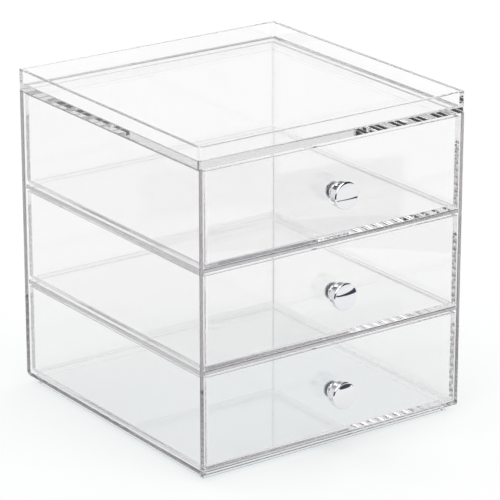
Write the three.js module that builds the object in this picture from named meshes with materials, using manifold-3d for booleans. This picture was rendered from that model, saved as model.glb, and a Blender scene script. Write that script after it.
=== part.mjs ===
// Clear cube organizer: a moulded case with three pull-out drawers under a shallow stacking tray.
// Millimetres, +Z up. The drawers open towards -Y. The origin is on the surface that the case
// stands on, under the middle of the whole object, knobs included.

import * as THREE from "three";
import { mergeVertices } from "three/addons/utils/BufferGeometryUtils.js";
import Module from "manifold-3d";

const wasm = await Module();
wasm.setup();

// Overall sizes, and the spaces that the case is divided into
const trayWidth = 170;
const trayDepth = 172;
const compartmentHeight = 53;
const drawerLevels = ["bottom", "middle", "top"];

// Tray: a plate with an upright lip all round
const trayPlate = 3.4;
const lipHeight = 8.3;
const lipWall = 2.4;
const trayOverhang = 0.3;
const trayCornerRound = 1.8;
const trayEdgeRound = 0.8;
const recessCornerRound = 1.6;
const recessFillet = 0.9;

// Case: two sides, a back and a floor in one moulding, open at the front and the top
const caseWall = 2.2;
const caseFloor = 2.6;
const caseLowerRound = 3;
const caseBackRound = 2.4;
const caseInnerRound = 0.8;

// Foot: a low ring under the floor, set in so that it drops inside the lip of a tray below
const footHeight = 3.4;
const footInset = 4;
const footWall = 2.4;
const footCornerRound = 4;

// Shelves, bonded between the side walls
const shelfThickness = 2.2;
const shelfNoseRound = 0.5;
const bondGap = 0.3;

// Drawers: open boxes that slide on the floor and the shelves
const drawerWall = 2;
const drawerFloor = 2;
const drawerSideGap = 0.5;
const drawerRunningGap = 0.3;
const drawerTopGap = 1.2;
const drawerBackGap = 1;
const drawerLowerRound = 2.5;
const drawerToeRound = 1.2;
const drawerBackRound = 1.6;
const drawerInnerRound = 1;

// Knob, turned about the line of its screw
const knobProjection = 11;
const knobRimRadius = 7.5;
const knobRimWidth = 1.8;
const knobRimRound = 0.7;
const knobDomeRise = 0.9;
const knobDrumRadius = 7.2;
const knobDrumWidth = 3.8;
const knobDrumRound = 1;
const knobNeckRadius = 3.9;
const knobNeckFillet = 0.9;
const knobCollarRadius = 4.5;
const knobCollarHeight = 1.2;
const seatGap = 0.3;

// Pan-head screw from inside the drawer, with a flat washer under its head
const screwShankRadius = 1.85;
const screwHoleGap = 0.4;
const screwThreadGap = 0.3;
const screwReach = 5.5;
const screwTipGap = 1.2;
const screwTipBevel = 0.4;
const screwHeadRadius = 3.6;
const screwHeadHeight = 2.3;
const screwHeadSide = 0.9;
const recessSlotLength = 3.8;
const recessSlotWidth = 0.9;
const recessSlotDepth = 1.2;
const washerRadius = 4.6;
const washerThickness = 0.8;

// Steps in a quarter of a rounded corner, in the knob's curves and round a turned piece
const cornerSteps = 5;
const curveSteps = 6;
const turnedSides = 36;
const overrun = 5;
const quarterTurn = Math.PI / 2;

// Sizes that follow from those above
const caseWidth = trayWidth - 2 * trayOverhang;
const caseDepth = trayDepth - 2 * trayOverhang;
const innerWidth = caseWidth - 2 * caseWall;
const innerDepth = caseDepth - caseWall;
const floorTop = footHeight + caseFloor;
const levelPitch = compartmentHeight + shelfThickness;
const caseTop = floorTop + drawerLevels.length * levelPitch - shelfThickness;
const drawerWidth = innerWidth - 2 * drawerSideGap;
const drawerDepth = innerDepth - drawerBackGap;
const drawerHeight = compartmentHeight - drawerRunningGap - drawerTopGap;
const frontPlane = (seatGap + knobProjection + trayOverhang - trayDepth) / 2;

// Solids in and out of three.js geometry

function solidFrom(geometry) {
  const bare = geometry.clone();
  bare.deleteAttribute("normal");
  bare.deleteAttribute("uv");
  const welded = mergeVertices(bare);
  const mesh = new wasm.Mesh({
    numProp: 3,
    vertProperties: welded.attributes.position.array,
    triVerts: new Uint32Array(welded.index.array),
  });
  return new wasm.Manifold(mesh);
}

function geometryFrom(solid) {
  const { vertProperties, triVerts } = solid.getMesh();
  const geometry = new THREE.BufferGeometry();
  geometry.setAttribute("position", new THREE.BufferAttribute(vertProperties, 3));
  geometry.setIndex(new THREE.BufferAttribute(triVerts, 1));
  geometry.computeVertexNormals();
  return geometry;
}

// Outlines: rectangles whose corners have radii of their own

function cornerPoints(x, y, inwardX, inwardY, radius, startAngle) {
  if (radius === 0) {
    return [new THREE.Vector2(x, y)];
  }
  const points = [];
  for (let step = 0; step <= cornerSteps; step++) {
    const angle = startAngle + (quarterTurn * step) / cornerSteps;
    const centreX = x + inwardX * radius;
    const centreY = y + inwardY * radius;
    points.push(new THREE.Vector2(
      centreX + radius * Math.cos(angle),
      centreY + radius * Math.sin(angle),
    ));
  }
  return points;
}

function outline(left, right, low, high, radii) {
  const { lowLeft = 0, lowRight = 0, highRight = 0, highLeft = 0 } = radii;
  return new THREE.Shape([
    ...cornerPoints(left, low, 1, 1, lowLeft, 2 * quarterTurn),
    ...cornerPoints(right, low, -1, 1, lowRight, 3 * quarterTurn),
    ...cornerPoints(right, high, -1, -1, highRight, 0),
    ...cornerPoints(left, high, 1, -1, highLeft, quarterTurn),
  ]);
}

function evenOutline(left, right, low, high, radius) {
  const radii = { lowLeft: radius, lowRight: radius, highRight: radius, highLeft: radius };
  return outline(left, right, low, high, radii);
}

function extruded(shape, depth) {
  return new THREE.ExtrudeGeometry(shape, { depth, bevelEnabled: false });
}

// An outline raised from z = low to z = high, with both of its ends rounded over
function roundedSlab(shape, low, high, round) {
  const geometry = new THREE.ExtrudeGeometry(shape, {
    depth: high - low - 2 * round,
    bevelThickness: round,
    bevelSize: round,
    bevelOffset: -round,
    bevelSegments: cornerSteps,
  });
  geometry.translate(0, 0, low + round);
  return solidFrom(geometry);
}

// What a front view, a plan and a side view have in common: a block that is rounded like a
// moulding where its walls meet. Sides is half the width, and front to back runs along +Y.
function mouldedBlock({ sides, front, back, low, high }, rounds) {
  const { lowerSide = 0, lowerBack = 0, lowerFront = 0, backUpright = 0, frontUpright = 0 } = rounds;
  const width = 2 * sides;
  const depth = back - front;
  const height = high - low;
  const frontView = extruded(
    outline(-sides, sides, low, high, { lowLeft: lowerSide, lowRight: lowerSide }),
    depth,
  );
  frontView.rotateX(quarterTurn);
  frontView.translate(0, back, 0);
  const plan = extruded(
    outline(-sides, sides, front, back, {
      lowLeft: frontUpright,
      lowRight: frontUpright,
      highRight: backUpright,
      highLeft: backUpright,
    }),
    height,
  );
  plan.translate(0, 0, low);
  const sideView = extruded(
    outline(front, back, low, high, { lowLeft: lowerFront, lowRight: lowerBack }),
    width,
  );
  sideView.rotateX(quarterTurn);
  sideView.rotateZ(quarterTurn);
  sideView.translate(-sides, 0, 0);
  return solidFrom(frontView).intersect(solidFrom(plan)).intersect(solidFrom(sideView));
}

// A solid of revolution about the Y axis, from [radius, distance along -Y] pairs whose outer
// side runs towards -Y
function turned(profile) {
  const points = profile.map(([radius, along]) => new THREE.Vector2(radius, -along));
  return new THREE.LatheGeometry(points.reverse(), turnedSides);
}

function curvePoints(curve) {
  return curve.getPoints(curveSteps).map((point) => [point.x, point.y]);
}

// Sub-parts. Each is built with the drawer fronts in the plane y = 0 and the depth along +Y.

function footRing() {
  const half = caseWidth / 2 - footInset;
  const back = caseDepth - footInset;
  const ring = evenOutline(-half, half, footInset, back, footCornerRound);
  ring.holes.push(evenOutline(
    footWall - half,
    half - footWall,
    footInset + footWall,
    back - footWall,
    footCornerRound - footWall,
  ));
  return solidFrom(extruded(ring, footHeight + caseFloor / 2));
}

function caseShell() {
  const outside = mouldedBlock(
    { sides: caseWidth / 2, front: 0, back: caseDepth, low: footHeight, high: caseTop },
    { lowerSide: caseLowerRound, lowerBack: caseLowerRound, backUpright: caseBackRound },
  );
  const inside = mouldedBlock(
    {
      sides: innerWidth / 2,
      front: -overrun,
      back: innerDepth,
      low: floorTop,
      high: caseTop + overrun,
    },
    { lowerSide: caseInnerRound, lowerBack: caseInnerRound, backUpright: caseInnerRound },
  );
  return outside.add(footRing()).subtract(inside);
}

function shelf() {
  const half = innerWidth / 2 - bondGap;
  const plate = extruded(
    outline(0, innerDepth - bondGap, 0, shelfThickness, {
      lowLeft: shelfNoseRound,
      highLeft: shelfNoseRound,
    }),
    2 * half,
  );
  plate.rotateX(quarterTurn);
  plate.rotateZ(quarterTurn);
  plate.translate(-half, 0, 0);
  return solidFrom(plate);
}

function topTray() {
  const half = trayWidth / 2;
  const front = -trayOverhang;
  const back = front + trayDepth;
  const top = trayPlate + lipHeight;
  const slab = roundedSlab(
    evenOutline(-half, half, front, back, trayCornerRound),
    0,
    top,
    trayEdgeRound,
  );
  const recess = roundedSlab(
    evenOutline(
      lipWall - half,
      half - lipWall,
      front + lipWall,
      back - lipWall,
      recessCornerRound,
    ),
    trayPlate,
    top + overrun,
    recessFillet,
  );
  return slab.subtract(recess);
}

function drawerBox() {
  const outside = mouldedBlock(
    { sides: drawerWidth / 2, front: 0, back: drawerDepth, low: 0, high: drawerHeight },
    {
      lowerSide: drawerLowerRound,
      lowerBack: drawerLowerRound,
      lowerFront: drawerToeRound,
      backUpright: drawerBackRound,
    },
  );
  const inside = mouldedBlock(
    {
      sides: drawerWidth / 2 - drawerWall,
      front: drawerWall,
      back: drawerDepth - drawerWall,
      low: drawerFloor,
      high: drawerHeight + overrun,
    },
    {
      lowerSide: drawerInnerRound,
      lowerBack: drawerInnerRound,
      lowerFront: drawerInnerRound,
      backUpright: drawerInnerRound,
      frontUpright: drawerInnerRound,
    },
  );
  const holeRadius = screwShankRadius + screwHoleGap;
  const hole = new THREE.CylinderGeometry(
    holeRadius,
    holeRadius,
    2 * (drawerWall + overrun),
    turnedSides,
  );
  hole.translate(0, 0, drawerHeight / 2);
  return outside.subtract(inside).subtract(solidFrom(hole));
}

// The knob stands on a low collar. A neck carries its head, which is a drum with a slightly
// wider rim and a domed face.
function knob() {
  const rimEnd = knobProjection - knobDomeRise;
  const rimStart = rimEnd - knobRimWidth;
  const drumStart = rimStart - knobDrumWidth;
  const neckFillet = new THREE.QuadraticBezierCurve(
    new THREE.Vector2(knobNeckRadius, drumStart - knobNeckFillet),
    new THREE.Vector2(knobNeckRadius, drumStart),
    new THREE.Vector2(knobNeckRadius + knobNeckFillet, drumStart),
  );
  const drumEdge = new THREE.QuadraticBezierCurve(
    new THREE.Vector2(knobDrumRadius - knobDrumRound, drumStart),
    new THREE.Vector2(knobDrumRadius, drumStart),
    new THREE.Vector2(knobDrumRadius, drumStart + knobDrumRound),
  );
  const rimEdge = new THREE.QuadraticBezierCurve(
    new THREE.Vector2(knobRimRadius, rimEnd - knobRimRound),
    new THREE.Vector2(knobRimRadius, rimEnd),
    new THREE.Vector2(knobRimRadius - knobRimRound, rimEnd),
  );
  const dome = new THREE.QuadraticBezierCurve(
    new THREE.Vector2(knobRimRadius - knobRimRound, rimEnd),
    new THREE.Vector2(knobRimRadius / 2, knobProjection),
    new THREE.Vector2(0, knobProjection),
  );
  const holeRadius = screwShankRadius + screwThreadGap;
  const holeDepth = screwReach + screwTipGap;
  return turned([
    [0, holeDepth],
    [holeRadius, holeDepth],
    [holeRadius, 0],
    [knobCollarRadius, 0],
    [knobCollarRadius, knobCollarHeight],
    [knobNeckRadius, knobCollarHeight],
    ...curvePoints(neckFillet),
    ...curvePoints(drumEdge),
    [knobDrumRadius, rimStart],
    [knobRimRadius, rimStart],
    ...curvePoints(rimEdge),
    ...curvePoints(dome).slice(1),
  ]);
}

// The head lies on the +Y side of the plane y = 0, where it bears, and the shank on the other
function knobScrew() {
  const shank = drawerWall + washerThickness + 3 * seatGap + screwReach;
  const crown = new THREE.EllipseCurve(
    0,
    -screwHeadSide,
    screwHeadRadius,
    screwHeadHeight - screwHeadSide,
    0,
    -quarterTurn,
    true,
  );
  const blank = turned([
    ...curvePoints(crown).reverse(),
    [screwHeadRadius, 0],
    [screwShankRadius, 0],
    [screwShankRadius, shank - screwTipBevel],
    [screwShankRadius - screwTipBevel, shank],
    [0, shank],
  ]);
  const across = new THREE.BoxGeometry(recessSlotLength, 2 * recessSlotDepth, recessSlotWidth);
  const upright = new THREE.BoxGeometry(recessSlotWidth, 2 * recessSlotDepth, recessSlotLength);
  const cross = solidFrom(across).add(solidFrom(upright)).translate([0, screwHeadHeight, 0]);
  return solidFrom(blank).subtract(cross);
}

function washer() {
  const hole = screwShankRadius + screwHoleGap;
  return turned([
    [hole, 0],
    [hole, -washerThickness],
    [washerRadius, -washerThickness],
    [washerRadius, 0],
    [hole, 0],
  ]);
}

// Materials: each piece has its own, of one of three finishes
const finishes = {
  clearPlastic: { color: 0xf4f4f6, roughness: 0.04, metalness: 0, transparent: true, opacity: 0.3 },
  chrome: { color: 0xd8dadd, roughness: 0.06, metalness: 1 },
  steel: { color: 0xb4b6b9, roughness: 0.3, metalness: 1 },
};

function piece(name, geometry, finish) {
  const mesh = new THREE.Mesh(geometry, new THREE.MeshStandardMaterial(finishes[finish]));
  mesh.name = name;
  return mesh;
}

function drawerAssembly(level) {
  const group = new THREE.Group();
  group.add(piece(`drawer_${level}`, geometryFrom(drawerBox()), "clearPlastic"));
  const knobPiece = piece(`knob_${level}`, knob(), "chrome");
  knobPiece.position.y = -seatGap;
  const washerPiece = piece(`knob_washer_${level}`, washer(), "steel");
  washerPiece.position.y = drawerWall + seatGap;
  const screwPiece = piece(`knob_screw_${level}`, geometryFrom(knobScrew()), "steel");
  screwPiece.position.y = drawerWall + seatGap + washerThickness + seatGap;
  for (const fitting of [knobPiece, washerPiece, screwPiece]) {
    fitting.position.z = drawerHeight / 2;
    group.add(fitting);
  }
  return group;
}

function organizer() {
  const group = new THREE.Group();
  group.position.y = frontPlane;
  group.add(piece("case_shell", geometryFrom(caseShell()), "clearPlastic"));
  const tray = piece("top_tray", geometryFrom(topTray()), "clearPlastic");
  tray.position.z = caseTop + bondGap;
  group.add(tray);
  ["shelf_lower", "shelf_upper"].forEach((name, index) => {
    const plate = piece(name, geometryFrom(shelf()), "clearPlastic");
    plate.position.z = floorTop + (index + 1) * levelPitch - shelfThickness;
    group.add(plate);
  });
  drawerLevels.forEach((level, index) => {
    const drawer = drawerAssembly(level);
    drawer.position.z = floorTop + index * levelPitch + drawerRunningGap;
    group.add(drawer);
  });
  return group;
}

const part = new THREE.Group();
part.add(organizer());

export default part;
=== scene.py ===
# Clear cube organizer: three pull-out drawers in a moulded case, under a bonded stacking tray.
# The scene is in metres. Sizes below are in millimetres and turns in degrees, unless they say
# otherwise. +Z is up, and the drawers open towards -Y.

import math
import bmesh
import bpy
from mathutils import Matrix, Vector


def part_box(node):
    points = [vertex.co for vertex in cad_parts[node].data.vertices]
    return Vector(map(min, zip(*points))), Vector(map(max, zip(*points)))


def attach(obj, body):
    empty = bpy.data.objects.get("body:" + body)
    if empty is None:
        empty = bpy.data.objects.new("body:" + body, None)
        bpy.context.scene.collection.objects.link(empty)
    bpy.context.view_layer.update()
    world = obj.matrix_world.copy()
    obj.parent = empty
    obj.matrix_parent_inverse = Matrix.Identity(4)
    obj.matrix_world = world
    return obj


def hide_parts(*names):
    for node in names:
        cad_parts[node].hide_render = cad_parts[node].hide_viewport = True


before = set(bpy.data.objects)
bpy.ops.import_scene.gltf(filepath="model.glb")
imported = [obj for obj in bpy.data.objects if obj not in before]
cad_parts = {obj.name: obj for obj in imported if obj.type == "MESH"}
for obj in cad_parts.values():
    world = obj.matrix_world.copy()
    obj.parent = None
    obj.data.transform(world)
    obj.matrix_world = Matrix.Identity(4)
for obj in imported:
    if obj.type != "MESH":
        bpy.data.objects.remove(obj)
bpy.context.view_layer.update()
mm = 0.001
levels = ["bottom", "middle", "top"]
print("frame loaded")


# Camera: the photograph's own viewpoint, through a long lens
cameraView = {
    "azimuth": -35.35,
    "elevation": 19.58,
    "distance": 1632,
    "aim": (0, 5.5, 90.7),
    "aimRight": 5.79,
    "aimUp": -5.06,
    "lens": 216.9,
    "farClip": 50,  # in metres
}


def viewAxes(azimuth, elevation):
    turn = math.radians(azimuth)
    tilt = math.radians(elevation)
    right = Vector((math.cos(turn), math.sin(turn), 0))
    back = Vector((math.sin(turn) * math.cos(tilt), -math.cos(turn) * math.cos(tilt), math.sin(tilt)))
    return right, back.cross(right), back


def makeCamera(view):
    camera = bpy.data.objects.new("camera", bpy.data.cameras.new("camera"))
    bpy.context.scene.collection.objects.link(camera)
    right, up, back = viewAxes(view["azimuth"], view["elevation"])
    offset = back * view["distance"] + right * view["aimRight"] + up * view["aimUp"]
    place = (Vector(view["aim"]) + offset) * mm
    camera.matrix_world = Matrix.Translation(place) @ Matrix((right, up, back)).transposed().to_4x4()
    camera.data.lens = view["lens"]
    camera.data.clip_end = view["farClip"]
    bpy.context.scene.camera = camera


# Materials
def linear(hexColour):
    channels = [int(hexColour[i:i + 2], 16) / 255 for i in (1, 3, 5)]
    return [c / 12.92 if c <= 0.04045 else ((c + 0.055) / 1.055) ** 2.4 for c in channels] + [1]


def addNode(tree, kind, settings=None, inputs=None):
    node = tree.nodes.new(kind)
    for name, value in (settings or {}).items():
        setattr(node, name, value)
    for name, value in (inputs or {}).items():
        socket = node.inputs[name]
        if isinstance(value, bpy.types.NodeSocket):
            tree.links.new(value, socket)
        else:
            socket.default_value = value
    return node


def newMaterial(name):
    material = bpy.data.materials.new(name)
    material.use_nodes = True
    material.node_tree.nodes.clear()
    return material, material.node_tree


# Clear styrene, injection moulded in a polished tool: glassy faces with a faint flow waviness,
# and a slight grey-violet body colour that only shows along an edge. The body is the depth of
# that colour, set for each piece as dark as its edges look: partly the plastic's own tint and partly
# painted edge shade. The waves and the haze follow the flow of the melt, so they are centimetres long.
clearStyrene = {
    "colour": "#fdfdfd",
    "ior": 1.5,
    "roughness": (0.0, 0.012),
    "waveSize": 14,
    "waveDepth": 0.0006,
    "waveDetail": 2.0,
    "waveRoughness": 0.4,
    "hazeSize": 42,
    "hazeDetail": 3.0,
    "hazeSpan": (0.35, 0.75),
    "tint": "#eeedee",
    "shadow": "#fdfefe",
    # depth for each piece: the plastic's own tint, deepened where it paints edge shade
    "body": {"case": 33.0, "tray": 10.0, "shelf": 20.0, "drawer": 6.0},
}


def clearPlastic(name, look, depth):
    material, tree = newMaterial(name)
    place = addNode(tree, "ShaderNodeTexCoord").outputs["Object"]
    wave = addNode(tree, "ShaderNodeTexNoise", inputs={
        "Vector": place, "Scale": 1 / (look["waveSize"] * mm),
        "Detail": look["waveDetail"], "Roughness": look["waveRoughness"]})
    bump = addNode(tree, "ShaderNodeBump", inputs={
        "Height": wave.outputs["Fac"], "Distance": look["waveDepth"] * mm})
    haze = addNode(tree, "ShaderNodeTexNoise", inputs={
        "Vector": place, "Scale": 1 / (look["hazeSize"] * mm), "Detail": look["hazeDetail"]})
    rough = addNode(tree, "ShaderNodeMapRange", inputs={
        "Value": haze.outputs["Fac"], "From Min": look["hazeSpan"][0], "From Max": look["hazeSpan"][1],
        "To Min": look["roughness"][0], "To Max": look["roughness"][1]})
    plastic = addNode(tree, "ShaderNodeBsdfPrincipled", inputs={
        "Base Color": linear(look["colour"]), "Roughness": rough.outputs["Result"],
        "IOR": look["ior"], "Transmission Weight": 1.0, "Normal": bump.outputs["Normal"]})
    light = addNode(tree, "ShaderNodeBsdfTransparent", inputs={"Color": linear(look["shadow"])})
    rays = addNode(tree, "ShaderNodeLightPath")
    mix = addNode(tree, "ShaderNodeMixShader", inputs={0: rays.outputs["Is Shadow Ray"]})
    tree.links.new(plastic.outputs["BSDF"], mix.inputs[1])
    tree.links.new(light.outputs["BSDF"], mix.inputs[2])
    body = addNode(tree, "ShaderNodeVolumeAbsorption", inputs={
        "Color": linear(look["tint"]), "Density": depth})
    out = addNode(tree, "ShaderNodeOutputMaterial", inputs={"Surface": mix.outputs["Shader"]})
    tree.links.new(body.outputs["Volume"], out.inputs["Volume"])
    return material


# Bright chrome over turned brass: a mirror with the softest orange peel of the plating bath
brightChrome = {
    "colour": "#e9eaec",
    "roughness": (0.02, 0.06),
    "peelSize": 0.9,
    "peelDepth": 0.0012,
    "peelDetail": 2.0,
    "peelSpan": (0.3, 0.7),
}

# Zinc-plated steel: satin, faintly blue, with a cloudy passivation film
zincSteel = {
    "colour": "#b9bdc4",
    "film": "#cfc9b8",
    "roughness": (0.24, 0.4),
    "cloudSize": 1.6,
    "cloudDetail": 4.0,
    "cloudSpan": (0.45, 0.75),
}


def chromePlate(name, look):
    material, tree = newMaterial(name)
    place = addNode(tree, "ShaderNodeTexCoord").outputs["Object"]
    peel = addNode(tree, "ShaderNodeTexNoise", inputs={
        "Vector": place, "Scale": 1 / (look["peelSize"] * mm), "Detail": look["peelDetail"]})
    bump = addNode(tree, "ShaderNodeBump", inputs={
        "Height": peel.outputs["Fac"], "Distance": look["peelDepth"] * mm})
    rough = addNode(tree, "ShaderNodeMapRange", inputs={
        "Value": peel.outputs["Fac"], "From Min": look["peelSpan"][0], "From Max": look["peelSpan"][1],
        "To Min": look["roughness"][0], "To Max": look["roughness"][1]})
    metal = addNode(tree, "ShaderNodeBsdfPrincipled", inputs={
        "Base Color": linear(look["colour"]), "Metallic": 1.0,
        "Roughness": rough.outputs["Result"], "Normal": bump.outputs["Normal"]})
    addNode(tree, "ShaderNodeOutputMaterial", inputs={"Surface": metal.outputs["BSDF"]})
    return material


def zincPlate(name, look):
    material, tree = newMaterial(name)
    place = addNode(tree, "ShaderNodeTexCoord").outputs["Object"]
    cloud = addNode(tree, "ShaderNodeTexNoise", inputs={
        "Vector": place, "Scale": 1 / (look["cloudSize"] * mm), "Detail": look["cloudDetail"]})
    share = addNode(tree, "ShaderNodeMapRange", inputs={
        "Value": cloud.outputs["Fac"], "From Min": look["cloudSpan"][0], "From Max": look["cloudSpan"][1]})
    colour = addNode(tree, "ShaderNodeMix", {"data_type": "RGBA"}, {
        0: share.outputs["Result"], 6: linear(look["colour"]), 7: linear(look["film"])})
    rough = addNode(tree, "ShaderNodeMapRange", inputs={
        "Value": cloud.outputs["Fac"], "To Min": look["roughness"][0], "To Max": look["roughness"][1]})
    metal = addNode(tree, "ShaderNodeBsdfPrincipled", inputs={
        "Base Color": colour.outputs[2], "Metallic": 1.0, "Roughness": rough.outputs["Result"]})
    addNode(tree, "ShaderNodeOutputMaterial", inputs={"Surface": metal.outputs["BSDF"]})
    return material


clearLooks = {piece: clearPlastic("clear moulded styrene " + piece, clearStyrene, depth)
              for piece, depth in clearStyrene["body"].items()}
chromeLook = chromePlate("bright chrome plate", brightChrome)
zincLook = zincPlate("zinc plated steel", zincSteel)
print("materials made")


# Meshes
slack = 0.05  # places this near, in mm, count as the same
weldGap = 0.001
flatTurn = 1  # degrees up to which two faces count as one flat face
creaseTurn = 32  # degrees from which a turned piece's edge is drawn sharp


def toObject(name, mesh):
    piece = bpy.data.objects.new(name, mesh)
    bpy.context.scene.collection.objects.link(piece)
    return piece


def bakedMesh(piece):
    view = bpy.context.evaluated_depsgraph_get()
    mesh = bpy.data.meshes.new_from_object(piece.evaluated_get(view))
    old = piece.data
    piece.modifiers.clear()
    piece.data = mesh
    mesh.name = piece.name
    bpy.data.meshes.remove(old)
    return piece


def dress(piece, material, body, slot, *nodes):
    piece.data.materials.clear()
    piece.data.materials.append(material)
    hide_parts(*nodes)
    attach(piece, body)


# A shell from flat faces, given as corner lists, whose edges are then rounded, each by its own
# radius. radiusOf gets an edge's middle and its direction (0, 1 or 2 for x, y or z).
def roundedShell(name, faces, radiusOf, segments=6):
    bm = bmesh.new()
    for corners in faces:
        bm.faces.new([bm.verts.new(Vector(c) * mm) for c in corners])
    bmesh.ops.remove_doubles(bm, verts=bm.verts, dist=weldGap * mm)
    bmesh.ops.recalc_face_normals(bm, faces=bm.faces)
    weights = bm.edges.layers.float.new("bevel_weight_edge")
    radii = {}
    for edge in bm.edges:
        if edge.calc_face_angle(0) < math.radians(flatTurn):
            continue
        span = edge.verts[1].co - edge.verts[0].co
        direction = max(range(3), key=lambda i: abs(span[i]))
        middle = (edge.verts[0].co + edge.verts[1].co) / (2 * mm)
        radii[edge] = radiusOf(middle, direction)
    largest = max(radii.values())
    for edge, radius in radii.items():
        edge[weights] = radius / largest
    for face in bm.faces:
        face.smooth = True
    mesh = bpy.data.meshes.new(name)
    bm.to_mesh(mesh)
    bm.free()
    piece = toObject(name, mesh)
    bevel = piece.modifiers.new("rounded edges", "BEVEL")
    bevel.limit_method = "WEIGHT"
    bevel.width = largest * mm
    bevel.segments = segments
    bevel.use_clamp_overlap = False
    bevel.harden_normals = True
    return bakedMesh(piece)


# A rectangle is given as (left, right, front, back)
def flatFace(r, height):
    return [(r[0], r[2], height), (r[1], r[2], height), (r[1], r[3], height), (r[0], r[3], height)]


def bandFaces(a, b):
    return [[a[i], a[(i + 1) % 4], b[(i + 1) % 4], b[i]] for i in range(4)]


def ringFaces(outer, inner, height):
    return bandFaces(flatFace(outer, height), flatFace(inner, height))


def wallFaces(r, low, high):
    return bandFaces(flatFace(r, low), flatFace(r, high))


def inset(r, amount):
    return (r[0] + amount, r[1] - amount, r[2] + amount, r[3] - amount)


def planOf(node):
    low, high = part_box(node)
    low, high = low / mm, high / mm
    return (low.x, high.x, low.y, high.y), low.z, high.z


def near(a, b):
    return abs(a - b) < slack


# Case
case = {
    "wall": 2.2,
    "floor": 2.6,
    "footHeight": 3.4,
    "footInset": 4.0,
    "footWall": 2.4,
    "footCorner": 4.0,
    "footEdge": 0.4,
    "lowerRound": 3.0,
    "backRound": 0.6,
    "innerRound": 0.8,
    "rimRound": 0.25,
}


def makeCase():
    plan, low, top = planOf("case_shell")
    left, right, front, back = plan
    under = low + case["footHeight"]
    floor = under + case["floor"]
    inLeft, inRight, inBack = left + case["wall"], right - case["wall"], back - case["wall"]
    foot = inset(plan, case["footInset"])
    footIn = inset(foot, case["footWall"])
    faces = [
        [(left, front, under), (left, back, under), (left, back, top), (left, front, top)],
        [(right, front, under), (right, back, under), (right, back, top), (right, front, top)],
        [(left, back, under), (right, back, under), (right, back, top), (left, back, top)],
        [(left, front, under), (right, front, under), (right, front, top), (inRight, front, top),
         (inRight, front, floor), (inLeft, front, floor), (inLeft, front, top), (left, front, top)],
        [(left, front, top), (inLeft, front, top), (inLeft, inBack, top), (inRight, inBack, top),
         (inRight, front, top), (right, front, top), (right, back, top), (left, back, top)],
        [(inLeft, front, floor), (inLeft, inBack, floor), (inLeft, inBack, top), (inLeft, front, top)],
        [(inRight, front, floor), (inRight, inBack, floor), (inRight, inBack, top), (inRight, front, top)],
        [(inLeft, inBack, floor), (inRight, inBack, floor), (inRight, inBack, top), (inLeft, inBack, top)],
        flatFace((inLeft, inRight, front, inBack), floor),
        flatFace(footIn, under),
        *ringFaces(plan, foot, under),
        *wallFaces(foot, low, under),
        *ringFaces(foot, footIn, low),
        *wallFaces(footIn, low, under),
    ]

    def radiusOf(middle, direction):
        x, y, z = middle
        if z < under - 2 * slack:
            if direction < 2:
                return case["footEdge"]
            outside = near(abs(x), right - case["footInset"])
            return case["footCorner"] if outside else case["footCorner"] - case["footWall"]
        if near(z, under):
            if direction == 1 and near(abs(x), right):
                return case["lowerRound"]
            if direction == 0 and near(y, back):
                return case["lowerRound"]
            return case["footEdge"]
        if direction == 2 and near(y, back):
            return case["backRound"]
        if near(z, floor) and not near(y, front):
            return case["innerRound"]
        if direction == 2 and near(y, inBack):
            return case["innerRound"]
        return case["rimRound"]

    shell = roundedShell("case_moulding", faces, radiusOf)
    dress(shell, clearLooks["case"], "case", "case_plastic", "case_shell")


# Tray: a plate with an upright lip all round
tray = {
    "plate": 3.4,
    "lipWall": 2.4,
    "cornerRound": 1.8,
    "edgeRound": 0.5,
    "recessCorner": 1.6,
    "recessFillet": 0.9,
    "plateEdge": 0.3,
}


def makeTray():
    plan, low, top = planOf("top_tray")
    recess = inset(plan, tray["lipWall"])
    floor = low + tray["plate"]
    faces = [
        flatFace(plan, low),
        *wallFaces(plan, low, top),
        *ringFaces(plan, recess, top),
        *wallFaces(recess, floor, top),
        flatFace(recess, floor),
    ]

    def radiusOf(middle, direction):
        x, y, z = middle
        if direction == 2:
            return tray["cornerRound"] if near(abs(x), plan[1]) else tray["recessCorner"]
        if near(z, floor):
            return tray["recessFillet"]
        return tray["plateEdge"] if near(z, low) else tray["edgeRound"]

    lid = roundedShell("stacking_tray", faces, radiusOf)
    dress(lid, clearLooks["tray"], "case", "tray_plastic", "top_tray")


# Shelves: flat plates with a rounded nose
shelf = {"noseRound": 0.5, "edge": 0.2}


def makeShelf(node, name):
    plan, low, top = planOf(node)
    faces = [flatFace(plan, low), flatFace(plan, top), *wallFaces(plan, low, top)]

    def radiusOf(middle, direction):
        return shelf["noseRound"] if direction == 0 and near(middle.y, plan[2]) else shelf["edge"]

    plate = roundedShell(name, faces, radiusOf)
    dress(plate, clearLooks["shelf"], "case", "shelf_plastic", node)


# Drawers: open boxes with a hole for the knob's screw
drawer = {
    "wall": 2.0,
    "floor": 2.0,
    "lowerRound": 2.5,
    "toeRound": 1.2,
    "backRound": 0.6,
    "frontRound": 0.3,
    "innerRound": 1.0,
    "rimRound": 0.3,
    "holeRadius": 2.25,
    "holeSides": 32,
    "holeEdge": 0.12,
}


# A wall across Y with a round hole, as four faces that meet at the hole's quarter points
def holedFaces(left, right, low, high, y, centre):
    sides, radius = drawer["holeSides"], drawer["holeRadius"]
    quarter = sides // 4
    turns = [2 * math.pi * (i + quarter / 2) / sides for i in range(sides)]
    ring = [(radius * math.cos(turn), y, centre + radius * math.sin(turn)) for turn in turns]
    corners = [(right, y, high), (left, y, high), (left, y, low), (right, y, low)]
    faces = []
    for i in range(4):
        arc = [ring[(i * quarter + k) % sides] for k in range(quarter + 1)]
        faces.append([corners[i], *arc, corners[(i + 1) % 4]])
    return faces, ring


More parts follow.
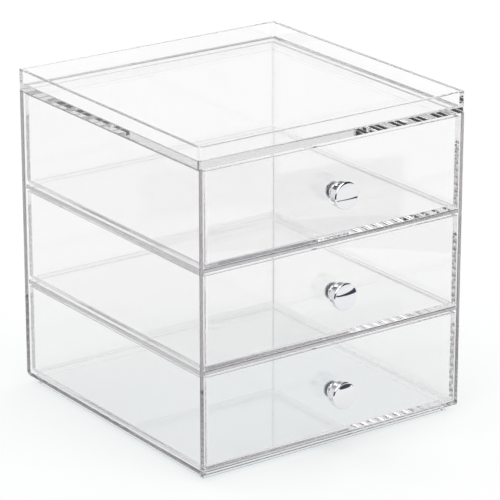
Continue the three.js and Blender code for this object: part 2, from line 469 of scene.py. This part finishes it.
def makeDrawer(level):
    node = "drawer_" + level
    plan, low, top = planOf(node)
    left, right, front, back = plan
    inner = inset(plan, drawer["wall"])
    floor = low + drawer["floor"]
    screwLow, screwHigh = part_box("knob_screw_" + level)
    centre = (screwLow.z + screwHigh.z) / (2 * mm)
    outerFront, outerRing = holedFaces(left, right, low, top, front, centre)
    innerFront, innerRing = holedFaces(inner[0], inner[1], floor, top, inner[2], centre)
    count = len(outerRing)
    faces = [
        flatFace(plan, low),
        *wallFaces(plan, low, top)[1:],
        *outerFront,
        *ringFaces(plan, inner, top),
        *wallFaces(inner, floor, top)[1:],
        *innerFront,
        flatFace(inner, floor),
        *[[outerRing[i], outerRing[(i + 1) % count], innerRing[(i + 1) % count], innerRing[i]]
          for i in range(count)],
    ]

    def radiusOf(middle, direction):
        x, y, z = middle
        if math.hypot(x, z - centre) < drawer["holeRadius"] + 2 * slack:
            return drawer["holeEdge"] if near(y, front) or near(y, inner[2]) else 0
        if near(z, top):
            return drawer["rimRound"]
        if near(z, low):
            return drawer["toeRound"] if near(y, front) else drawer["lowerRound"]
        if near(z, floor):
            return drawer["innerRound"]
        if near(abs(x), right):
            return drawer["frontRound"] if near(y, front) else drawer["backRound"]
        return drawer["innerRound"]

    box = roundedShell("drawer_box_" + level, faces, radiusOf)
    dress(box, clearLooks["drawer"], level + "_drawer", "drawer_plastic", node)


# Turned pieces, about the Y axis at x = 0. A profile runs from the axis or the bore, round the
# outside, as pairs of a radius and a distance towards -Y.
def arcPoints(centre, radius, startTurn, endTurn, steps):
    turns = [math.radians(startTurn + (endTurn - startTurn) * i / steps) for i in range(steps + 1)]
    return [(centre[0] + radius * math.cos(turn), centre[1] + radius * math.sin(turn)) for turn in turns]


def turnedMesh(name, profile, start, centre, sides=96, closed=False):
    bm = bmesh.new()
    turns = [2 * math.pi * i / sides for i in range(sides)]
    rings = []
    for radius, along in profile:
        y = start - along
        if radius < weldGap:
            rings.append([bm.verts.new(Vector((0, y, centre)) * mm)])
            continue
        places = [(radius * math.cos(turn), y, centre + radius * math.sin(turn)) for turn in turns]
        rings.append([bm.verts.new(Vector(place) * mm) for place in places])
    pairs = list(zip(rings, rings[1:])) + ([(rings[-1], rings[0])] if closed else [])
    for a, b in pairs:
        for i in range(sides):
            j = (i + 1) % sides
            if len(a) == 1:
                bm.faces.new([a[0], b[i], b[j]])
            elif len(b) == 1:
                bm.faces.new([a[i], a[j], b[0]])
            else:
                bm.faces.new([a[i], a[j], b[j], b[i]])
    bmesh.ops.recalc_face_normals(bm, faces=bm.faces)
    for face in bm.faces:
        face.smooth = True
    for edge in bm.edges:
        edge.smooth = edge.calc_face_angle(0) < math.radians(creaseTurn)
    mesh = bpy.data.meshes.new(name)
    bm.to_mesh(mesh)
    bm.free()
    return toObject(name, mesh)


# Knobs: a collar, a neck and a drum head with a bead round its domed face
knob = {
    "collarRadius": 4.5,
    "collarHeight": 1.2,
    "collarRound": 0.35,
    "neckRadius": 3.9,
    "neckFillet": 0.9,
    "drumRadius": 7.2,
    "drumWidth": 3.8,
    "drumRound": 0.9,
    "drumChamfer": 0.15,
    "grooveWidth": 0.1,
    "grooveDepth": 0.2,
    "rimRadius": 7.5,
    "rimWidth": 1.8,
    "rimRound": 1.1,
    "rimTurn": 78,
    "rimBackRound": 0.25,
    "domeRise": 0.9,
    "boreRadius": 2.15,
    "boreDepth": 6.7,
    "boreChamfer": 0.3,
    "smallSteps": 4,
    "neckSteps": 6,
    "largeSteps": 8,
    "domeSteps": 16,
}


def makeKnob(level):
    node = "knob_" + level
    low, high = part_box(node)
    start = high.y / mm
    reach = (high.y - low.y) / mm
    centre = (low.z + high.z) / (2 * mm)
    k = knob
    rimEnd = reach - k["domeRise"]
    rimStart = rimEnd - k["rimWidth"]
    drumStart = rimStart - k["drumWidth"]
    grooveStart = rimStart - k["grooveWidth"]
    grooveRadius = k["drumRadius"] - k["grooveDepth"]
    collarEdge = k["collarRadius"] - k["collarRound"]
    drumEdge = k["drumRadius"] - k["drumRound"]
    rimBack = k["rimRadius"] - k["rimBackRound"]
    domeEdge = k["rimRadius"] - k["rimRound"]
    domeRadius = (domeEdge ** 2 + k["domeRise"] ** 2) / (2 * k["domeRise"])
    domeTurn = 90 - math.degrees(math.asin(domeEdge / domeRadius))
    small, large = k["smallSteps"], k["largeSteps"]
    dome = arcPoints((0, reach - domeRadius), domeRadius, domeTurn, 90, k["domeSteps"])
    profile = [
        (0, k["boreDepth"]),
        (k["boreRadius"], k["boreDepth"]),
        (k["boreRadius"], k["boreChamfer"]),
        (k["boreRadius"] + k["boreChamfer"], 0),
        *arcPoints((collarEdge, k["collarRound"]), k["collarRound"], -90, 0, small),
        *arcPoints((collarEdge, k["collarHeight"] - k["collarRound"]), k["collarRound"], 0, 90, small),
        (k["neckRadius"], k["collarHeight"]),
        *arcPoints((k["neckRadius"] + k["neckFillet"], drumStart - k["neckFillet"]),
                   k["neckFillet"], 180, 90, k["neckSteps"]),
        *arcPoints((drumEdge, drumStart + k["drumRound"]), k["drumRound"], -90, 0, large),
        (k["drumRadius"], grooveStart - k["drumChamfer"]),
        (grooveRadius, grooveStart),
        (grooveRadius, rimStart),
        *arcPoints((rimBack, rimStart + k["rimBackRound"]), k["rimBackRound"], -90, 0, small),
        *arcPoints((domeEdge, rimEnd - k["rimRound"]), k["rimRound"], 0, k["rimTurn"], large),
        *dome[1:],
    ]
    piece = turnedMesh("turned_knob_" + level, profile, start, centre)
    dress(piece, chromeLook, level + "_drawer", "knob_metal", node)


# Washers: punched, so one edge is rounded and the other has a small burr
washer = {"punchRound": 0.2, "boreRadius": 2.25, "burr": 0.05, "steps": 4, "sides": 64}


def makeWasher(level):
    node = "knob_washer_" + level
    low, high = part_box(node)
    start = low.y / mm
    thick = (high.y - low.y) / mm
    radius = (high.x - low.x) / (2 * mm)
    centre = (low.z + high.z) / (2 * mm)
    bore, r, burr, steps = (washer[key] for key in ("boreRadius", "punchRound", "burr", "steps"))
    profile = [
        (bore, 0.0),
        (radius - r, 0.0),
        *arcPoints((radius - r, -r), r, 90, 0, steps)[1:],
        (radius, -thick + burr),
        (radius - burr, -thick),
        *arcPoints((bore + r, -thick + r), r, -90, -180, steps),
    ]
    piece = turnedMesh("flat_washer_" + level, profile, start, centre, washer["sides"], True)
    dress(piece, zincLook, level + "_drawer", "fixing_steel", node)


# Screws: pan head with a cross recess, and an M4 thread wound by geometry nodes
screw = {
    "coreRadius": 1.58,
    "crestRadius": 1.98,
    "pitch": 0.7,
    "headHeight": 2.3,
    "headSide": 0.9,
    "headSteps": 10,
    "seatChamfer": 0.15,
    "neckChamfer": 0.2,
    "tipBevel": 0.4,
    "plainLength": 3.4,
    "tipGap": 0.2,
    "ridgeShare": 0.75,
    "ridgeSides": 6,
    "turnSteps": 20,
    "sides": 48,
    "slotLength": 3.8,
    "slotWidth": 0.9,
    "slotDepth": 1.2,
}


def threadTree():
    tree = bpy.data.node_groups.new("wound thread", "GeometryNodeTree")
    sockets = tree.interface
    sockets.new_socket("Geometry", in_out="OUTPUT", socket_type="NodeSocketGeometry")
    sockets.new_socket("Geometry", in_out="INPUT", socket_type="NodeSocketGeometry")
    for name in ("Turns", "Height", "Pitch radius", "Ridge"):
        sockets.new_socket(name, in_out="INPUT", socket_type="NodeSocketFloat")
    sockets.new_socket("Material", in_out="INPUT", socket_type="NodeSocketMaterial")
    given = addNode(tree, "NodeGroupInput").outputs
    path = addNode(tree, "GeometryNodeCurveSpiral", inputs={
        "Resolution": screw["turnSteps"], "Rotations": given["Turns"], "Height": given["Height"],
        "Start Radius": given["Pitch radius"], "End Radius": given["Pitch radius"]})
    ridge = addNode(tree, "GeometryNodeCurvePrimitiveCircle", inputs={
        "Resolution": screw["ridgeSides"], "Radius": given["Ridge"]})
    sweep = addNode(tree, "GeometryNodeCurveToMesh", inputs={
        "Curve": path.outputs["Curve"], "Profile Curve": ridge.outputs["Curve"], "Fill Caps": True})
    turn = addNode(tree, "GeometryNodeTransform", inputs={
        "Geometry": sweep.outputs["Mesh"], "Rotation": (math.pi / 2, 0, 0)})
    real = addNode(tree, "GeometryNodeRealizeInstances", inputs={"Geometry": turn.outputs["Geometry"]})
    paint = addNode(tree, "GeometryNodeSetMaterial", inputs={
        "Geometry": real.outputs["Geometry"], "Material": given["Material"]})
    addNode(tree, "NodeGroupOutput", inputs={"Geometry": paint.outputs["Geometry"]})
    return tree


def setInputs(piece, tree, values):
    modifier = piece.modifiers.new(tree.name, "NODES")
    modifier.node_group = tree
    for item in tree.interface.items_tree:
        if item.item_type == "SOCKET" and item.in_out == "INPUT" and item.name in values:
            modifier[item.identifier] = values[item.name]


def joinInto(target, *others):
    for other in others:
        bm = bmesh.new()
        bm.from_mesh(target.data)
        bm.from_mesh(other.data)
        bm.to_mesh(target.data)
        bm.free()
        bpy.data.objects.remove(other)


def makeScrew(level, tree):
    node = "knob_screw_" + level
    low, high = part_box(node)
    radius = (high.x - low.x) / (2 * mm)
    centre = (low.z + high.z) / (2 * mm)
    seat = high.y / mm - screw["headHeight"]
    shank = seat - low.y / mm
    s = screw
    crownTurns = [math.radians(90 * i / s["headSteps"]) for i in range(s["headSteps"] + 1)]
    crownHeight = s["headHeight"] - s["headSide"]
    crown = [(radius * math.cos(turn), -s["headSide"] - crownHeight * math.sin(turn))
             for turn in crownTurns]
    blank = [
        *reversed(crown),
        (radius, -s["seatChamfer"]),
        (radius - s["seatChamfer"], 0),
        (s["coreRadius"] + s["neckChamfer"], 0),
        (s["coreRadius"], s["neckChamfer"]),
        (s["coreRadius"], shank - s["tipBevel"]),
        (s["coreRadius"] - s["tipBevel"], shank),
        (0, shank),
    ]
    piece = turnedMesh("pan_head_screw_" + level, blank, seat, centre, s["sides"])
    cutter = bmesh.new()
    for size in ((s["slotLength"], s["slotWidth"]), (s["slotWidth"], s["slotLength"])):
        box = bmesh.ops.create_cube(cutter, size=1)["verts"]
        bmesh.ops.scale(cutter, vec=Vector((size[0], 2 * s["slotDepth"], size[1])) * mm, verts=box)
    mesh = bpy.data.meshes.new("recess")
    cutter.to_mesh(mesh)
    cutter.free()
    tool = toObject("recess", mesh)
    tool.location = Vector((0, high.y / mm, centre)) * mm
    cut = piece.modifiers.new("cross recess", "BOOLEAN")
    cut.operation = "DIFFERENCE"
    cut.solver = "EXACT"
    cut.use_self = True
    cut.object = tool
    bakedMesh(piece)
    bpy.data.objects.remove(tool)
    thread = toObject("thread", bpy.data.meshes.new("thread"))
    length = shank - s["plainLength"]
    ridge = (s["crestRadius"] - s["coreRadius"]) * s["ridgeShare"]
    setInputs(thread, tree, {
        "Turns": length / s["pitch"], "Height": length * mm, "Ridge": ridge * mm,
        "Pitch radius": (s["crestRadius"] - ridge) * mm, "Material": zincLook})
    bakedMesh(thread)
    threadStart = Vector((0, low.y / mm + length + s["tipGap"], centre)) * mm
    thread.data.transform(Matrix.Translation(threadStart))
    joinInto(piece, thread)
    dress(piece, zincLook, level + "_drawer", "fixing_steel", node)


# Studio: a white floor and sky, five soft lamps, and dark and grey curtains of painted reflected
# shade, glowing strips that the plastic's edges show and the chrome mirrors. The sky and the floor's
# glow are there for the rays that look, not for those that light.
studio = {
    "lampAngle": 40,
    "floorColour": "#d9d9d9",
    "floorGlow": 0.32,
    "floorHalf": 30,  # in metres
    "shadeStripSteps": 24,
    "knobFaces": -91.5,
    "bounces": 96,
    "shadowBounces": 64,
    "diffuseBounces": 2,
}

# Azimuth and elevation of each lamp as the camera's are counted, and its strength
lamps = [
    (0, 84, 1.05),
    (-80, 48, 0.8),
    (20, 48, 0.7),
    (110, 48, 0.7),
    (-160, 48, 0.7),
]


def seenRays(tree):
    rays = addNode(tree, "ShaderNodeLightPath").outputs
    first = addNode(tree, "ShaderNodeMath", {"operation": "MAXIMUM"}, {
        0: rays["Is Camera Ray"], 1: rays["Is Glossy Ray"]})
    return addNode(tree, "ShaderNodeMath", {"operation": "MAXIMUM"}, {
        0: first.outputs[0], 1: rays["Is Transmission Ray"]}).outputs[0]


def makeWorld():
    world = bpy.data.worlds.new("studio")
    bpy.context.scene.world = world
    world.use_nodes = True
    world.cycles.sampling_method = "NONE"  # it is looked at and lights nothing
    tree = world.node_tree
    tree.nodes.clear()
    sky = addNode(tree, "ShaderNodeBackground", inputs={
        "Color": (1, 1, 1, 1), "Strength": seenRays(tree)})
    addNode(tree, "ShaderNodeOutputWorld", inputs={"Surface": sky.outputs[0]})


def makeFloor():
    material, tree = newMaterial("white sweep")
    card = addNode(tree, "ShaderNodeBsdfDiffuse", inputs={"Color": linear(studio["floorColour"])})
    strength = addNode(tree, "ShaderNodeMath", {"operation": "MULTIPLY"}, {
        0: seenRays(tree), 1: studio["floorGlow"]})
    glow = addNode(tree, "ShaderNodeEmission", inputs={
        "Color": (1, 1, 1, 1), "Strength": strength.outputs[0]})
    both = addNode(tree, "ShaderNodeAddShader", inputs={0: card.outputs[0], 1: glow.outputs[0]})
    addNode(tree, "ShaderNodeOutputMaterial", inputs={"Surface": both.outputs[0]})
    mesh = bpy.data.meshes.new("floor")
    half = studio["floorHalf"]
    corners = [(-half, -half, 0), (half, -half, 0), (half, half, 0), (-half, half, 0)]
    mesh.from_pydata(corners, [], [(0, 1, 2, 3)])
    mesh.materials.append(material)
    toObject("floor", mesh)


def makeLamps():
    for azimuth, elevation, strength in lamps:
        right, up, back = viewAxes(azimuth, elevation)
        lamp = bpy.data.objects.new("soft_lamp", bpy.data.lights.new("soft_lamp", "SUN"))
        bpy.context.scene.collection.objects.link(lamp)
        lamp.matrix_world = Matrix((right, up, back)).transposed().to_4x4()
        lamp.data.energy = strength
        lamp.data.angle = math.radians(studio["lampAngle"])


# Curtains of painted reflected shade: strips about the object that glow at a set tone in place of
# shaded surroundings. Each has its tone, the azimuths of its two ends, and the distance and height
# of the lower and upper edges at each end. The plastic's stand about the origin and are seen through
# the plastic alone. The chrome's stand about the knobs and are mirrored alone.
plasticShadeStrips = {
    "ring_right": ("#8c8c90", 15, 165, (1100, 590, 700, 1250), (1100, 590, 700, 1250)),
    "ring_behind": ("#101012", 165, 192, (900, 920, 700, 1250), (900, 920, 700, 1250)),
    "ring_left": ("#101012", 192, 375, (1100, 590, 700, 1250), (1100, 590, 700, 1250)),
    "high_behind": ("#101012", 193, 212, (355, 250, 355, 305), (390, 250, 390, 305)),
    "high_right": ("#58585c", 40, 58, (350, 270, 350, 305), (440, 270, 440, 305)),
}
chromeShadeStrips = {
    "front": ("#464a56", 0, 78, (215, 30, 205, 44), (312, 0, 172, 77)),
    "left": ("#101012", -100, -24, (300, 5, 300, 190), (300, 5, 300, 190)),
    "above": ("#101012", -8, 125, (280, 190, 80, 470), (300, 227, 80, 470)),
}


def makeShadeStrip(name, tone, start, end, first, last, forChrome):
    material, tree = newMaterial("painted reflected shade strip")
    material.cycles.emission_sampling = "NONE"  # it is mirrored and lights nothing
    # painted reflected shade: the strip glows at its tone and is not lit, so it stands in for shade
    paintedShade = addNode(tree, "ShaderNodeEmission", inputs={"Color": linear(tone)})
    addNode(tree, "ShaderNodeOutputMaterial", inputs={"Surface": paintedShade.outputs[0]})
    steps = studio["shadeStripSteps"]
    middle = studio["knobFaces"] if forChrome else 0
    points = []
    for i in range(steps + 1):
        share = i / steps
        turn = math.radians(start + (end - start) * share)
        edges = [p + (q - p) * share for p, q in zip(first, last)]
        for far, high in (edges[:2], edges[2:]):
            points.append(Vector((math.sin(turn) * far, middle - math.cos(turn) * far, high)) * mm)
    mesh = bpy.data.meshes.new(name)
    mesh.from_pydata(points, [], [(2 * i, 2 * i + 2, 2 * i + 3, 2 * i + 1) for i in range(steps)])
    mesh.materials.append(material)
    shadeStrip = toObject("painted_shade_" + name, mesh)
    shadeStrip.visible_camera = False
    shadeStrip.visible_diffuse = False
    shadeStrip.visible_shadow = False
    shadeStrip.visible_glossy = forChrome
    shadeStrip.visible_transmission = not forChrome


def setView():
    scene = bpy.context.scene
    scene.view_settings.view_transform = "Standard"
    scene.cycles.max_bounces = studio["bounces"]
    scene.cycles.transmission_bounces = studio["bounces"]
    scene.cycles.glossy_bounces = studio["bounces"]
    scene.cycles.transparent_max_bounces = studio["shadowBounces"]
    scene.cycles.diffuse_bounces = studio["diffuseBounces"]
    scene.cycles.caustics_reflective = False
    scene.cycles.caustics_refractive = False


makeCase()
makeTray()
makeShelf("shelf_lower", "lower_shelf_plate")
makeShelf("shelf_upper", "upper_shelf_plate")
print("case, tray and shelves made")
thread = threadTree()
for level in levels:
    makeDrawer(level)
    makeKnob(level)
    makeWasher(level)
    makeScrew(level, thread)
print("drawers and their fittings made")
makeWorld()
makeFloor()
makeLamps()
for name, values in plasticShadeStrips.items():
    makeShadeStrip(name, *values, False)
for name, values in chromeShadeStrips.items():
    makeShadeStrip(name, *values, True)
makeCamera(cameraView)
setView()
print("studio made")
